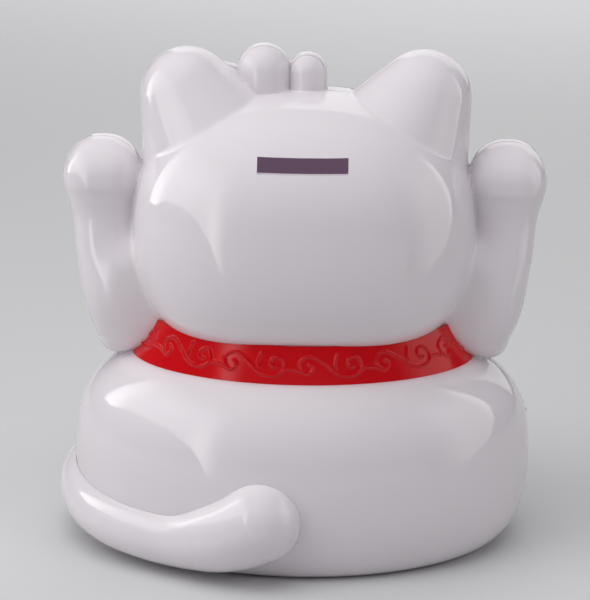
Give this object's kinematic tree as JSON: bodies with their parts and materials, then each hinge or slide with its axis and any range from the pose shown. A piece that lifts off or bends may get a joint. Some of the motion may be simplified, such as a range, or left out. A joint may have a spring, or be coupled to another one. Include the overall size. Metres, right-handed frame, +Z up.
{
  "type": "beckoning cat coin bank",
  "caption": "Seated cat coin bank with both arms raised, a slot in the back of the head, a scrolled collar with a bell, a wrapped tail and a pull-out coin plug.",
  "frame": {"origin": "centre of the footprint, on the surface that the cat stands on", "axes": "+Z up, -Y the way the cat faces, +X the cat's left, where the tail wraps round"},
  "size_m": [0.1909, 0.1631, 0.1954],
  "materials": {
    "white_plastic": "gloss",
    "red_paint": "gloss",
    "plug_plastic": "satin",
    "gold_plating": "polished",
    "zinc_steel": "satin",
    "inner_plastic": "satin",
    "black_paint": "gloss",
    "pink_paint": "satin"
  },
  "bodies": {
    "cat": {"rear_shell": "white_plastic", "front_shell": "white_plastic", "tail": "white_plastic", "tail_screw_1": "zinc_steel", "tail_screw_2": "zinc_steel", "collar_rear": "red_paint", "collar_front": "red_paint", "bell_hanger_pin": "zinc_steel", "base_plate": "white_plastic", "base_screw_1": "zinc_steel", "base_screw_2": "zinc_steel", "base_screw_3": "zinc_steel", "base_screw_4": "zinc_steel"},
    "bell": {"bell_upper": "gold_plating", "bell_lower": "gold_plating"},
    "pellet": {"bell_pellet": "zinc_steel"},
    "plug": {"coin_plug": "plug_plastic"}
  },
  "joints": [
    {"name": "bell_swing", "type": "hinge", "parent": "cat", "child": "bell", "pos_m": [0, -0.056, 0.0775], "axis": [-1, 0, 0], "range_deg": [0, 50]},
    {"name": "pellet_rattle", "type": "slide", "parent": "bell", "child": "pellet", "axis": [0, 0, 1], "range_m": [0, 0.008]},
    {"name": "coin_plug_pull", "type": "slide", "parent": "cat", "child": "plug", "axis": [0, 0, -1], "range_m": [0, 0.03]}
  ]
}
